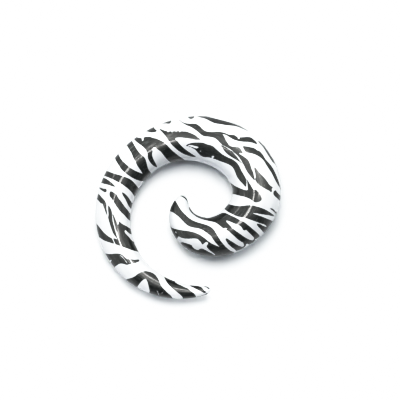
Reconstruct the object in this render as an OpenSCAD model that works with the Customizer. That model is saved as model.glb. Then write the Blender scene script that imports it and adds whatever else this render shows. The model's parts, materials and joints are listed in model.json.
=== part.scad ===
// Spiral ear taper, worn through a stretched ear lobe.
// One solid acrylic rod, bent into a flat spiral of one and a quarter turns. The
// blunt head curls into the middle, the rod is thickest where it is worn, at the
// right and the top, and the outer coil thins down to the pointed tail.
// It lies on a table as it comes to rest by itself, and is seen from above.

/* [Rod] */
// Thickness of the rod where it is worn, in mm
gauge = 12; // [8:0.5:13]
// Reach of the widest turn, from the eye of the spiral to the rod's centre, in mm
coil_reach = 26.7; // [25:0.1:34]

/* [Ends] */
// Length of the rounding on the tip of the head, in mm
head_round = 1.2; // [0.4:0.1:3]
// Length of the rounding on the tip of the tail, in mm
tail_round = 1.3; // [0.4:0.1:3]

/* [Rest] */
// Tilt about X of the spiral as it rests on its side, in degrees
rest_roll = 1.84; // [0:0.01:4]
// Tilt about Y of the spiral as it rests on its side, in degrees
rest_pitch = -2.46; // [-4:0.01:0]

/* [Smoothness] */
// Sides of the rod's round section
sides = 36; // [16:4:40]
// Slices along the rod, between the rounded tips
slices = 149; // [80:1:160]
// Slices in each rounded tip
tip_slices = 5; // [3:1:8]

/* [Hidden] */

// The rod from head to tail, one row for each eighth of a turn.
//   turn: angle around the eye, in degrees from the right
//   reach: eye to the rod's centre, in percent of coil_reach
//   girth: thickness of the rod, in percent of gauge
SECTIONS = [
    // turn, reach, girth
    [181, 21.4, 14],
    [225, 34.8, 64],
    [270, 38.2, 80],
    [315, 37.2, 92],
    [360, 44.2, 98],
    [405, 44.4, 100],
    [450, 48.2, 100],
    [495, 61.0, 75],
    [540, 85.8, 77],
    [585, 100, 58],
    [631, 85.2, 15],
];
TURN = 0;
REACH = 1;
GIRTH = 2;

last_row = len(SECTIONS) - 1;
measuring_steps = 600;
short_step = 0.001;

// Row of the table, which runs on evenly for one row past each end
function row(i) =
    i < 0 ? 2 * SECTIONS[0] - SECTIONS[1]
    : i > last_row ? 2 * SECTIONS[last_row] - SECTIONS[last_row - 1]
    : SECTIONS[i];

// Shares of four neighbouring rows, at a fraction f between the middle two
function shares(f) = [
    pow(1 - f, 3),
    3 * pow(f, 3) - 6 * pow(f, 2) + 4,
    3 * f + 3 * pow(f, 2) - 3 * pow(f, 3) + 1,
    pow(f, 3)
] / 6;

// Smooth blend of the table at a place between 0, the head, and last_row, the tail
function section(place) =
    let (i = min(floor(place), last_row - 1))
    shares(place - i) * [row(i - 1), row(i), row(i + 1), row(i + 2)];

// Middle of the rod at a place
function centre(place) =
    let (s = section(place), reach = coil_reach * s[REACH] / 100)
    [reach * cos(s[TURN]), reach * sin(s[TURN])];

// Direction square to the rod at a place, level and away from the eye
function outward(place) =
    let (
        along = centre(min(place + short_step, last_row))
            - centre(max(place - short_step, 0))
    )
    [along.y, -along.x] / norm(along);

// Distance from the head, paired with the place that it belongs to
middles = [for (k = [0:measuring_steps]) centre(last_row * k / measuring_steps)];
DISTANCES = [
    for (
        k = 0, gone = 0;
        k <= measuring_steps;
        gone = gone + norm(middles[min(k + 1, measuring_steps)] - middles[k]), k = k + 1
    )
    [gone, last_row * k / measuring_steps]
];
rod_length = DISTANCES[measuring_steps][0];

// Part of the full thickness that a rounded tip has, at a distance from its end
function rounding(distance, tip_length) =
    sqrt(1 - pow(1 - min(distance / tip_length, 1), 2));

function radius(distance, place) =
    gauge / 200 * section(place)[GIRTH]
    * rounding(distance, head_round)
    * rounding(rod_length - distance, tail_round);

// Round slice through the rod, at a distance from the head
function slice(distance) =
    let (
        place = lookup(distance, DISTANCES),
        c = centre(place),
        out = outward(place),
        r = radius(distance, place)
    )
    [
        for (k = [0:sides - 1])
        let (around = 360 * k / sides)
        [c.x + r * sin(around) * out.x, c.y + r * sin(around) * out.y, r * cos(around)]
    ];

// Distances of the slices: close together in the tips, even along the rod
function tip_distance(k, tip_length) = tip_length * (1 - cos(90 * k / tip_slices));
plain_length = rod_length - head_round - tail_round;
slice_distances = concat(
    [for (k = [1:tip_slices - 1]) tip_distance(k, head_round)],
    [for (k = [0:slices - 1]) head_round + plain_length * k / (slices - 1)],
    [for (k = [tip_slices - 1:-1:1]) rod_length - tip_distance(k, tail_round)]
);
slice_count = len(slice_distances);

// The rod's points: the tip of the head, the slices in order, the tip of the tail
head_tip = [centre(0).x, centre(0).y, 0];
tail_tip = [centre(last_row).x, centre(last_row).y, 0];
flat_points = concat(
    [head_tip],
    [for (distance = slice_distances) each slice(distance)],
    [tail_tip]
);

// Tilt of a point with the spiral, about X and then about Y
function rolled(p) = [
    p.x,
    p.y * cos(rest_roll) - p.z * sin(rest_roll),
    p.y * sin(rest_roll) + p.z * cos(rest_roll)
];
function pitched(p) = [
    p.x * cos(rest_pitch) + p.z * sin(rest_pitch),
    p.y,
    p.z * cos(rest_pitch) - p.x * sin(rest_pitch)
];
points = [for (p = flat_points) pitched(rolled(p))];

// The origin is under the middle of the resting spiral, on the table
function lowest(axis) = min([for (p = points) p[axis]]);
function highest(axis) = max([for (p = points) p[axis]]);
origin = [
    (lowest(0) + highest(0)) / 2,
    (lowest(1) + highest(1)) / 2,
    lowest(2)
];

// Number of a point on a slice, and the triangles that join the points
function corner(s, k) = 1 + s * sides + (k % sides);
last_point = len(points) - 1;
head_faces = [for (k = [0:sides - 1]) [0, corner(0, k), corner(0, k + 1)]];
rod_faces = [
    for (s = [0:slice_count - 2], k = [0:sides - 1])
    each [
        [corner(s, k), corner(s + 1, k), corner(s + 1, k + 1)],
        [corner(s, k), corner(s + 1, k + 1), corner(s, k + 1)]
    ]
];
tail_faces = [
    for (k = [0:sides - 1])
    [last_point, corner(slice_count - 1, k + 1), corner(slice_count - 1, k)]
];

module spiral_taper() {
    color("white")
        translate(-origin)
            polyhedron(
                points = points,
                faces = concat(head_faces, rod_faces, tail_faces),
                convexity = 6
            );
}

spiral_taper();
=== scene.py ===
"""Spiral ear taper: a glossy white acrylic rod, bent into a flat spiral, with a zebra print.

The spiral lies on its side on a white table and is seen from straight above. Lengths in the
classes are in millimetres and angles in degrees, and the meshes are in metres.
"""

import json
import logging
import math
from dataclasses import dataclass, field
from enum import Enum

import bpy
import numpy as np
from mathutils import Euler, Matrix, Vector
from mathutils.kdtree import KDTree

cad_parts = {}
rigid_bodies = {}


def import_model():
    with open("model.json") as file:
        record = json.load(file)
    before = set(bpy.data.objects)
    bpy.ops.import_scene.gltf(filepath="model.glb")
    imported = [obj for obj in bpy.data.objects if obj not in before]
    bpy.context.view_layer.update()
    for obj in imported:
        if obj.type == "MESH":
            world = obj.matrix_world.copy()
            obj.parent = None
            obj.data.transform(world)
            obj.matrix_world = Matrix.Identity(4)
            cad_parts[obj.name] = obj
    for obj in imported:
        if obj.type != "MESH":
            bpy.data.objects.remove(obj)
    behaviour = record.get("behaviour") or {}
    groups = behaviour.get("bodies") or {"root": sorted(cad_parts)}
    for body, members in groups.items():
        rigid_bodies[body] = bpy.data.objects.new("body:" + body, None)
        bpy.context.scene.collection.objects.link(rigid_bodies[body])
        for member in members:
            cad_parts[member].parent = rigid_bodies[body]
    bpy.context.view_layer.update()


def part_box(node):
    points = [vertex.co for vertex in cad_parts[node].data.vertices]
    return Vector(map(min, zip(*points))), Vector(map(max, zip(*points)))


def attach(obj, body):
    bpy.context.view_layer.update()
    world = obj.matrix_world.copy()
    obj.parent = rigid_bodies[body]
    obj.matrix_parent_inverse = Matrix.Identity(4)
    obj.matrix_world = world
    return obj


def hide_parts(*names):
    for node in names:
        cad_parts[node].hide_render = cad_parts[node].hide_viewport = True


LOG = logging.getLogger("spiral_taper")
MM = 0.001
TINY = 1e-6
NODE = "spiral_taper"

Pair = tuple[float, float]
Triple = tuple[float, float, float]
Outline = tuple[Pair, ...]
Colour = Triple
Socket = bpy.types.NodeSocket


def deselect_all() -> None:
    """Leave nothing selected, so that the next operator acts on its own object alone."""
    for thing in bpy.context.view_layer.objects.selected[:]:
        thing.select_set(False)


def make_active(thing: bpy.types.Object) -> None:
    """Select one object alone and make it the active one.

    Args:
        thing: the object that the next operators act on.
    """
    deselect_all()
    thing.select_set(True)
    bpy.context.view_layer.objects.active = thing


class Layer(Enum):
    """What a shape of the print does to the white rod."""

    INK = "black ink"
    BARE = "white left bare inside the ink"


@dataclass(frozen=True)
class Shape:
    """One shape of the print, on the rod's surface unrolled.

    Attributes:
        name: what the shape is called.
        layer: whether the shape is inked or left bare.
        outline: its corners, as the distance from the head's tip in mm and the angle round
            the rod in degrees: 0 on top, 90 on the outer side and -90 on the inner side.
    """

    name: str
    layer: Layer
    outline: Outline


@dataclass(frozen=True)
class Wrap:
    """A stripe that goes on round the underside, from the outer side to the inner side.

    Attributes:
        outer: where it leaves the outer side, from and to, in mm from the head's tip.
        inner: where it meets the inner side, from and to, in mm from the head's tip.
    """

    outer: Pair
    inner: Pair


# The visible shapes, in order from the head to the tail.
VISIBLE_SHAPES = (
    Shape("line round the head's tip", Layer.INK, (
        (0.6, 66), (0.45, 40), (0.34, 10), (0.36, -20), (0.45, -50), (0.8, -70), (1.6, -84),
        (1.75, -74), (1.15, -60), (0.82, -40), (0.68, -20), (0.64, 5), (0.64, 35), (0.72, 60))),
    Shape("head patch", Layer.INK, (
        (1.95, 110), (1.95, 80), (2, 60), (2.2, 40), (2.6, 20), (3.2, 5), (4, -8), (5, -19), (6, -25),
        (8, -32), (10, -36.5), (11.5, -37.5), (13, -36), (14, -33), (15, -27), (15.7, -20),
        (16.2, -9), (16.6, 5), (17, 20), (17.5, 38), (18, 57), (18.5, 75), (18.6, 108),
        (16.5, 116), (14.8, 128), (14.4, 124), (13.5, 111), (12.4, 124), (12, 129), (9.4, 129),
        (5, 122))),
    Shape("inner rim and first fork", Layer.INK, (
        (12, -75), (11.3, -90), (10.9, -110), (9.2, -110), (8.3, -93), (7.2, -110), (4.4, -110),
        (3.5, -93), (2.8, -84), (2.7, -70), (3.3, -60), (4.5, -59), (6, -60.5), (8, -60), (10, -59),
        (12, -57), (13.5, -54), (15.5, -47), (16.5, -41.5), (17.3, -34), (17.9, -25), (18.4, -17),
        (18.9, -12), (19.1, -8), (19.5, 0), (19.9, 12), (20.2, 25), (20.5, 38), (20.8, 50), (21, 70),
        (21.1, 110), (23.6, 110), (23.7, 80), (23.85, 60), (23.9, 40), (23.85, 15), (23.7, 0),
        (23.4, -8), (23, -20), (22.5, -31), (21.8, -45), (21.2, -55), (20.4, -63), (19, -69),
        (16, -72.5))),
    Shape("outer tooth", Layer.INK, (
        (18.05, 13), (18.1, 27), (18.45, 43), (18.8, 58), (18.9, 70), (19.65, 74), (20.35, 73),
        (20.75, 66), (20.9, 57), (20.78, 49), (20.62, 56), (20.45, 63), (20.2, 63), (20.02, 59),
        (19.61, 47), (19.14, 31), (18.6, 19), (18.3, 13))),
    Shape("broad ring", Layer.INK, (
        (25.4, 110), (25.5, 80), (25.9, 55), (25.75, 40), (25.55, 28), (25.3, 16), (25, 6),
        (24.7, -3), (24.2, -11), (23.5, -22), (22.8, -38), (22.3, -52), (22, -65), (21.9, -76),
        (23, -79), (24.3, -75), (24.8, -62), (25.5, -48), (26.3, -35), (27.1, -24), (27.9, -13),
        (28.3, -2), (28.4, 15), (28.3, 35), (28.1, 50), (27.95, 65), (27.9, 80), (27.9, 110))),
    Shape("horn of the broad ring", Layer.INK, (
        (25.75, 96), (25.3, 112), (24.85, 98), (24.6, 80), (24.7, 65), (24.85, 50), (25, 35),
        (25.2, 30), (25.4, 33), (25.5, 45), (25.6, 57), (25.8, 80))),
    Shape("sliver by the broad ring", Layer.INK, (
        (28.4, 92), (28.1, 106), (27.85, 96), (28, 85), (28.2, 73), (28.45, 60), (28.7, 45),
        (28.9, 38), (28.9, 48), (28.7, 60), (28.5, 75))),
    Shape("thumb and inner stripe", Layer.INK, (
        (30, -110), (30.1, -60), (30, -40), (29.9, -25), (29.6, -12), (29.2, -4), (29.3, 5),
        (29.8, 12), (30.3, 13), (30.8, 10), (31.5, 5), (32.1, -2), (32.3, -8), (33.2, -13),
        (34.3, -16.5), (35.3, -19), (34.3, -20.5), (33.2, -21.5), (32.2, -22.5), (32.2, -28),
        (32.6, -37), (33.2, -46), (33.85, -55), (34.5, -62), (35.45, -70), (36.3, -80), (36.7, -110),
        (35.6, -110), (34.5, -93), (33.2, -110))),
    Shape("outer dash", Layer.INK, (
        (30.85, 100), (30.6, 113), (30.4, 121), (30.1, 112), (30.05, 98), (30.2, 80), (30.5, 65),
        (30.9, 50), (31.3, 43), (31.7, 44), (31.9, 50), (31.5, 58), (31.2, 70), (30.95, 85))),
    Shape("leaf", Layer.INK, (
        (31.6, 37), (31.9, 30), (32.2, 22), (32.6, 14), (33.1, 7), (33.7, 2), (34.4, 0), (35.3, 3),
        (36.3, 5), (37.1, 7.5), (37.3, 9.5), (36.8, 11.5), (35.8, 14), (34.8, 19.5), (33.8, 26),
        (33, 31), (32.6, 37), (32.35, 43), (32.2, 37), (31.9, 38))),
    Shape("central stripe", Layer.INK, (
        (34.4, -1.5), (35.3, -7), (36.2, -9.5), (37.2, -10.7), (38.4, -9.8), (39.8, -7.5),
        (41.3, -4.8), (43, -3), (45, -1.3), (46.3, -1), (47.1, 1.5), (47.8, 5), (48.6, 7.7),
        (50, 7.5), (51, 7), (51.6, 9.5), (52.4, 16), (53.3, 24), (54.1, 31), (54.9, 37), (55.6, 45),
        (56.1, 54), (56.4, 62), (56.6, 72), (56.2, 62), (55.8, 53), (55.2, 45.5), (54.5, 42),
        (53.6, 40.5), (52.9, 38.5), (52.3, 33), (51.7, 26), (51.1, 21), (50.3, 19.5), (49.3, 21),
        (48.2, 25), (47.2, 27), (46, 27.5), (45.4, 30), (44.9, 33), (44.4, 32), (43.9, 34.5),
        (43.3, 41), (42.7, 50), (42.1, 57), (41.4, 58), (40.8, 57.5), (40.5, 54), (41.2, 47),
        (41.9, 40), (42.7, 31), (43.5, 25.5), (44.3, 22.5), (45.3, 22), (46.2, 23.5), (47.2, 22.5),
        (46.6, 18), (46.2, 13.5), (45.5, 8.5), (44.7, 4.8), (44.1, 5.5), (43.4, 9.5), (42.7, 13),
        (42.1, 12), (41.5, 10), (41.3, 8), (41.8, 4), (41.9, 1.8), (41, 3.5), (40.2, 5),
        (39.4, 6.5), (38.5, 5), (37.4, 2), (36.2, 1), (35.3, -1))),
    Shape("small leaf", Layer.INK, (
        (39.6, -10.5), (40.6, -8.8), (41.8, -7), (43.4, -4.7), (44.8, -3.4), (46, -3), (46.8, -4),
        (46.1, -7.5), (45.2, -12), (44.2, -14.8), (43, -15.5), (41.8, -14), (40.6, -11.8))),
    Shape("dark inner stripe", Layer.INK, (
        (33.2, -26.5), (34.3, -23), (35.5, -20.7), (37, -21.5), (38.2, -21.5), (39.5, -19),
        (40.8, -17.5), (42.3, -19), (43.7, -21.7), (45.2, -22), (46.6, -19), (47.7, -15),
        (48.6, -12), (50, -11.5), (51, -9.5), (52.2, -10.2), (53.6, -11.7), (54.6, -14),
        (55.4, -18.5), (54.9, -21.5), (53.9, -25), (52.9, -30), (52.2, -37), (51.5, -43.5),
        (50.7, -47.3), (49.8, -47.5), (48.9, -44.5), (47.6, -43), (46.2, -42), (45, -41),
        (43.6, -38), (42.3, -35), (41.2, -33.3), (40.2, -33.7), (39, -36.5), (37.8, -39.3),
        (36.6, -39.3), (35.3, -36.2), (34.1, -31.2))),
    Shape("outer ribbon", Layer.INK, (
        (31.65, 95), (31.7, 112), (31.9, 95), (32.2, 78), (32.8, 71), (33.7, 64), (34.6, 59.5),
        (35.6, 55), (36.6, 49.5), (37.6, 45), (38.3, 45.5), (39.3, 44), (39.7, 40), (40.3, 38),
        (41, 32), (41.7, 26), (42.3, 20), (41.8, 17.5), (41.1, 15), (40.5, 18), (39.7, 25.5),
        (38.7, 32.5), (37.6, 37.8), (36.2, 40), (35.1, 44.5), (34.2, 48.5), (33.4, 53.5), (32.8, 60),
        (32.3, 69), (31.8, 80))),
    Shape("rim stripe", Layer.INK, (
        (35, 110), (35.2, 88), (36, 75), (36.5, 66), (37.5, 63), (38.5, 63), (39.6, 66), (40.6, 66),
        (40.8, 72), (39.7, 77), (38.5, 79), (37.4, 78), (36.4, 82), (36.2, 110))),
    Shape("crest", Layer.INK, (
        (43.1, 82), (43.4, 75), (44.3, 69), (45.4, 64), (47.1, 52), (48.2, 49), (49.3, 47.5),
        (50.2, 51), (51.3, 60), (52.4, 68), (52.9, 76), (52.9, 110), (51.5, 110), (51.5, 84),
        (50.6, 74), (49.6, 70), (48.6, 68), (47.3, 70), (45.2, 76), (43.8, 84))),
    Shape("first crest tip", Layer.INK, (
        (54.75, 96), (54.4, 113), (54.1, 124), (53.75, 112), (53.45, 96), (53.5, 78), (53.65, 63),
        (54.1, 60), (54.5, 66), (54.75, 78))),
    Shape("second crest tip", Layer.INK, (
        (57.9, 110), (58, 80), (57.95, 64), (58.35, 58), (59.1, 66), (59.8, 76), (59.9, 110))),
    Shape("third crest tip", Layer.INK, (
        (61.6, 110), (61.6, 78), (61.45, 60), (61.25, 46), (62.2, 50), (62.8, 60), (63.2, 72),
        (63.4, 110))),
    Shape("saddle", Layer.INK, (
        (51.7, -2.5), (52.4, 2.5), (53.2, 8.5), (54.2, 14), (55.1, 18.5), (56.2, 21.5),
        (57.2, 24.5), (58.2, 27.5), (59, 31), (59.6, 36.5), (60.1, 44), (60.5, 51), (60.8, 59),
        (60.6, 48), (60.3, 37), (59.9, 24), (59.6, 12), (59.3, 0), (58.9, -10), (58.3, -21),
        (57.6, -31), (56.7, -40.5), (55.8, -47), (54.8, -52), (53.8, -54.7), (53, -54), (52.7, -52),
        (53.4, -48), (54.5, -40), (55.6, -30.5), (56.4, -21), (57, -11.5), (57.4, -3), (57.8, 4),
        (57.5, 6), (56.7, 5), (55.5, 2), (54, -1.3), (52.8, -3.5))),
    Shape("horned ring", Layer.INK, (
        (56, -110), (56.4, -80), (56.9, -67), (57.6, -55), (58.4, -42), (59.1, -30), (59.7, -17),
        (60.1, -7), (60.6, 4), (61.2, 13), (61.8, 21.5), (62.5, 30), (63.1, 39), (63.7, 45),
        (64.2, 48.5), (64.45, 42), (64.75, 38), (64.85, 44), (64.7, 50), (64.95, 57), (65.3, 66),
        (65.5, 80), (65.6, 100), (65.8, 114), (65.98, 124), (66.12, 114), (66.2, 100), (66.15, 80),
        (66.05, 60), (65.8, 42), (65.5, 29), (65.25, 17), (65.2, 6), (65.4, -5), (65.75, -12),
        (66, -22), (66.05, -36), (65.9, -49), (65.6, -60), (65.4, -66), (65.2, -57), (65.05, -45),
        (64.95, -33), (64.75, -20), (64.4, -11), (64, -6), (63.7, 0), (63.4, 3.5), (63.1, 1.5),
        (62.7, -6), (62.2, -17), (61.9, -30), (61.7, -43), (61.4, -57), (61.1, -72), (60.9, -110),
        (59.6, -110), (58.9, -94), (58.2, -110))),
    Shape("hairpin ring", Layer.INK, (
        (66.5, 110), (66.65, 80), (66.7, 50), (66.8, 25), (66.75, 8), (66.5, -4), (66.6, -13),
        (67, -25), (67.5, -38), (67.85, -50), (68, -70), (68, -110), (69.1, -110), (69.5, -94),
        (70, -110), (71.2, -110), (71.5, -82), (71.9, -62), (72.2, -45), (72.45, -28), (72.55, -10),
        (72.45, 8), (72.25, 23), (71.95, 36), (71.7, 52), (71.45, 72), (71.2, 110), (70.3, 110),
        (70.35, 78), (70.5, 60), (70.7, 45), (70.8, 25), (70.8, 5), (70.65, -12), (70.4, -25),
        (70.15, -35), (69.9, -44), (69.65, -36), (69.4, -23), (69.15, -9), (68.85, 1), (68.6, 13),
        (68.25, 28), (68.1, 45), (68, 70), (68.1, 110))),
    Shape("plain ring", Layer.INK, (
        (74.6, 110), (74.4, 75), (74.25, 55), (74.05, 35), (73.75, 18), (73.45, 2), (73.2, -14),
        (73.25, -30), (73.6, -45), (74, -60), (74.3, -75), (74.4, -110), (77.5, -110), (77.3, -78),
        (76.8, -63), (76.3, -51), (75.9, -38), (75.55, -24), (75.3, -7), (75.2, 12), (75.25, 35),
        (75.4, 60), (75.5, 110))),
    Shape("tooth by the plain ring", Layer.INK, (
        (77, 98), (76.8, 113), (76.5, 124), (76.2, 113), (76, 98), (75.9, 75), (75.8, 55),
        (75.85, 42), (76, 28), (76.25, 17), (76.5, 9), (76.65, 22), (76.75, 40), (76.9, 57),
        (77, 75))),
    Shape("peg", Layer.INK, (
        (78.15, 98), (78.05, 118), (77.9, 98), (77.9, 75), (77.85, 50), (77.75, 37), (78.1, 33),
        (78.45, 37), (78.35, 50), (78.2, 70))),
    Shape("slanted stripe", Layer.INK, (
        (77.85, 20), (77.95, 8), (78.1, 0), (78.7, -8), (79.5, -20), (80.3, -31), (81, -41),
        (81.7, -52), (82.3, -63), (82.8, -77), (83, -110), (85.4, -110), (85.1, -80), (84.6, -63),
        (84, -52), (83.2, -40), (82.3, -26), (81.3, -13), (80.5, -4), (79.9, 3), (79.4, 10),
        (79, 17), (78.4, 21))),
    Shape("short slanted stripe", Layer.INK, (
        (77.15, -15), (77.2, -23), (77.55, -33), (78, -43), (78.6, -54), (79.1, -64), (79.45, -76),
        (79.6, -110), (81.5, -110), (81.3, -77), (80.8, -62), (80.1, -51), (79.3, -41), (78.5, -31),
        (77.8, -21))),
    Shape("outer slanted stripe", Layer.INK, (
        (79.3, 110), (79.2, 78), (79.3, 62), (79.6, 50), (79.95, 38), (80.4, 28.5), (80.9, 24.5),
        (81.7, 23), (82.6, 20), (83.5, 18), (83, 22), (82.3, 27.5), (81.6, 33), (81, 38), (80.9, 47),
        (80.55, 59), (80.3, 76), (80.2, 110))),
    Shape("long blade", Layer.INK, (
        (81.1, 17), (82, 16), (83, 14.5), (84, 15), (85.2, 11.5), (86.6, 8), (87.8, 4.5), (88.6, 0),
        (89.2, -4.5), (88.2, -5), (87.3, -3.6), (86.4, -2.2), (85.2, 0), (83.8, 1.9), (82.8, 3),
        (82.2, 5), (81.7, 9))),
    Shape("short blade", Layer.INK, (
        (83, 0.5), (83.8, -0.8), (84.6, -2.4), (85.6, -4.4), (86.6, -6.2), (87.4, -7.4), (88, -8),
        (88, -13), (86.9, -15), (85.9, -14.6), (85.1, -12), (84.2, -8), (83.4, -3.5))),
    Shape("great fork", Layer.INK, (
        (84.9, -21), (85.6, -18), (86, -12), (87, -9), (88.8, -8), (89.3, -3), (89, 3), (88.8, 12),
        (88.3, 22), (87.6, 32), (86.8, 43), (86, 54), (85.4, 66), (85.1, 80), (85, 110), (87.8, 110),
        (87.9, 75), (88.3, 60), (88.8, 46), (89.3, 32), (89.8, 20), (90.2, 10), (90.7, 2),
        (91.1, -5), (91.7, -14), (92.3, -23), (93, -34), (93.6, -43), (94.1, -53), (94.6, -64),
        (95.2, -80), (95.4, -110), (91.7, -110), (91.6, -76), (91, -62), (90, -53), (89.1, -45),
        (88.4, -39), (87.9, -37), (87.5, -40), (87.7, -45), (88.4, -54), (89, -64), (89.25, -80),
        (89.3, -110), (87.6, -110), (87.5, -75), (87, -60), (86.4, -47), (85.9, -36), (85.4, -27))),
    Shape("arrow", Layer.INK, (
        (91.1, 110), (91.3, 80), (91.55, 63), (91.85, 48), (92.1, 33), (92.4, 20), (92.8, 10),
        (93.4, 3.5), (94.1, 0), (94.7, -4), (95.1, -10), (95.4, -17), (95.9, -24), (96.3, -33),
        (96.7, -43), (97, -46), (97.2, -40), (97.05, -31), (96.95, -24), (96.65, -15), (96.4, -7),
        (96.15, 2), (95.8, 12), (95.2, 19), (94.8, 28), (94.65, 40), (94.65, 60), (94.6, 110))),
    Shape("arch", Layer.INK, (
        (98, 110), (98.1, 78), (98.3, 60), (98.6, 45), (98.9, 32), (99.15, 17), (99.25, 4),
        (99.5, -9), (99.9, -20), (100.4, -29.5), (101.2, -38), (102, -44), (102.7, -45.5),
        (103.5, -41), (104.2, -32), (104.8, -21), (105.4, -8), (106, 3), (106.7, 13), (107.4, 25),
        (108.1, 38), (108.55, 52), (108.8, 70), (108.9, 110), (103.5, 110), (103.7, 70),
        (103.6, 52), (103.3, 38), (102.9, 25), (102.4, 13), (101.9, 5), (101.5, 1.5), (101.2, 8),
        (101, 20), (100.9, 40), (100.85, 60), (100.9, 110))),
    Shape("tail ring", Layer.INK, (
        (105.2, -110), (105.3, -80), (105.6, -65), (106.1, -50), (106.7, -36), (107.4, -23),
        (108.2, -11.5), (109, 0), (109.7, 11), (110.4, 25), (110.8, 38), (111.05, 52), (111.1, 75),
        (111.1, 110), (114.3, 110), (114.1, 72), (114, 45), (113.8, 28), (113.4, 8), (113, -4),
        (112.6, -17), (112.1, -29), (111.3, -36), (110.5, -45), (109.5, -53), (108.9, -60),
        (108.6, -75), (108.4, -110))),
    Shape("tail tip ring", Layer.INK, (
        (112.5, -110), (112.5, -80), (112.7, -69), (112.89, -59), (113.34, -48), (113.79, -37),
        (114.22, -26), (114.63, -16), (115.05, -5), (115.46, 7), (115.85, 21), (116.15, 33),
        (116.5, 29), (116.45, 15), (116.25, 0), (116.05, -13), (115.9, -27), (115.65, -43),
        (115.35, -54), (115, -63), (114.6, -74), (114.4, -90), (114.2, -110))),
    Shape("dot at the tail's tip", Layer.INK, (
        (116.7, 96), (116.4, 112), (116.1, 98), (116.05, 84), (116.2, 68), (116.36, 50),
        (116.6, 46), (116.78, 56), (116.8, 75))),
    Shape("line round the tail's tip", Layer.INK, (
        (116.3, -72), (116.7, -68), (117, -62), (117.35, -48), (117.5, -22), (117.2, -17),
        (116.95, -38), (116.7, -50), (116.35, -60))),
    Shape("thin line under the tail", Layer.INK, (
        (113.7, 76), (114.3, 69), (115, 66), (115.6, 63), (116.05, 60), (116.15, 73), (115.6, 84),
        (114.8, 89), (114, 88))),
    Shape("leaf under the head", Layer.INK, (
        (22.9, 121), (22.2, 123), (21.1, 134), (20, 150), (18.7, 172), (17.4, 196), (16.3, 220),
        (15.5, 243), (15.1, 258), (15.9, 247), (17, 228), (18.4, 208), (20, 186), (21.4, 164),
        (22.5, 144), (23.1, 129))),
    Shape("long white tongue in the head", Layer.BARE, (
        (3.9, 125), (3.95, 80), (4, 60), (4.2, 40), (4.6, 25), (5.2, 12), (6, 4), (7, -1),
        (8.2, -5), (9.5, -11.5), (10.5, -16), (11.4, -18), (12.4, -16.8), (13.3, -13), (14.1, -8),
        (14.8, -1.5), (15.3, 8), (15.85, 20), (16.35, 31), (16.65, 37), (16, 30), (15.2, 23),
        (14.4, 16), (13.5, 7.5), (12.5, 1.2), (11.4, -1), (10.4, 0.3), (9.5, 5), (8.7, 13),
        (7.9, 26), (7.3, 40), (6.95, 53), (6.6, 68), (6.2, 82), (6.1, 125))),
    Shape("white blot in the head", Layer.BARE, (
        (8.6, 120), (8.6, 80), (8.5, 65), (8.45, 52), (9.1, 43), (10, 30), (10.6, 22.5),
        (11.15, 17), (11.8, 14.5), (12.3, 17), (12.75, 21.5), (13.05, 27.5), (13.35, 21.5),
        (13.8, 16.5), (14.2, 19), (14.05, 25), (13.9, 30), (14.2, 37.5), (14.7, 47), (15.1, 56),
        (15.35, 67), (15.2, 68), (14.9, 61), (14.4, 53), (13.7, 45), (13.1, 42), (12.75, 46),
        (12.55, 52), (12.1, 54.5), (11.5, 50.5), (11.1, 44), (10.6, 46.5), (10.1, 51), (9.6, 59),
        (9.3, 75), (9.2, 90), (9.2, 120))),
    Shape("white wedge in the first fork", Layer.BARE, (
        (22.43, 64), (22.14, 57), (21.65, 36), (21.29, 20), (20.82, 3), (20.41, -15), (20.15, -31),
        (20.65, -28), (21.25, -19.5), (21.85, -9.5), (22.3, -1), (22.55, 6), (22.4, 13.5),
        (22.55, 19), (22.82, 20), (22.9, 30), (22.92, 45), (22.78, 60))),
    Shape("bare rim under the head", Layer.BARE, (
        (18.4, 78), (18.95, 71.5), (19.65, 75), (20.4, 76), (20.85, 70), (20.95, 60), (21.2, 60.5),
        (21.3, 72), (21.6, 76), (22.2, 77), (22.65, 73), (22.85, 65), (23, 71), (23.6, 75),
        (24.2, 80), (24.6, 88), (24.6, 99), (24.2, 110), (23.2, 116), (21.9, 117), (20.6, 112),
        (19.5, 103), (18.5, 94))),
    Shape("speck in the head", Layer.BARE, (
        (7.48, 50.5), (7.62, 48.5), (7.82, 50.5), (7.78, 54.5), (7.58, 55))),
    Shape("nick in the first fork", Layer.BARE, (
        (18.6, -13.5), (19, -10.5), (19.6, -10), (19.3, -12.5), (18.9, -15))),
    Shape("white slit in the broad ring", Layer.BARE, (
        (27.75, 100), (27.5, 118), (27.25, 130), (27.05, 116), (26.98, 90), (26.97, 60),
        (26.92, 38), (26.8, 22), (26.65, 11), (26.5, 4), (26.85, 9), (27.15, 19), (27.4, 31),
        (27.6, 44), (27.7, 60), (27.75, 85))),
    Shape("light patch in the dark stripe", Layer.BARE, (
        (52, -22), (52.4, -20.5), (53.5, -18.5), (54.4, -17.2), (55, -18.8), (54.2, -21.5),
        (53.2, -24.5), (52.5, -26.5))),
    Shape("comb on the saddle", Layer.BARE, (
        (59.15, 38), (58.95, 26), (58.72, 30.5), (58.38, 30), (58.14, 20), (57.95, 28.5),
        (57.5, 27), (57.28, 19.5), (57.08, 25.5), (56.7, 24.3), (56.5, 18.5), (56.28, 23), (56, 30),
        (57.5, 36))),
    Shape("fleck by the light patch", Layer.BARE, (
        (51.25, -31), (51.5, -30.6), (51.58, -32.8), (51.4, -34), (51.22, -33))),
    Shape("fleck in the dark stripe", Layer.BARE, (
        (47.1, -36), (47.5, -35), (47.95, -38), (47.65, -41.5), (47.2, -40.5))),
    Shape("nick in the outer ribbon", Layer.BARE, (
        (43.7, 30), (44.05, 30), (44.3, 36), (44.1, 38), (43.85, 36))),
    Shape("first slit in the great fork", Layer.BARE, (
        (88.5, 15), (88.85, 10.5), (89.5, 9.3), (90.3, 8.6), (90.35, 12.5), (89.6, 12.2),
        (89, 13.6))),
    Shape("second slit in the great fork", Layer.BARE, (
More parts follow.
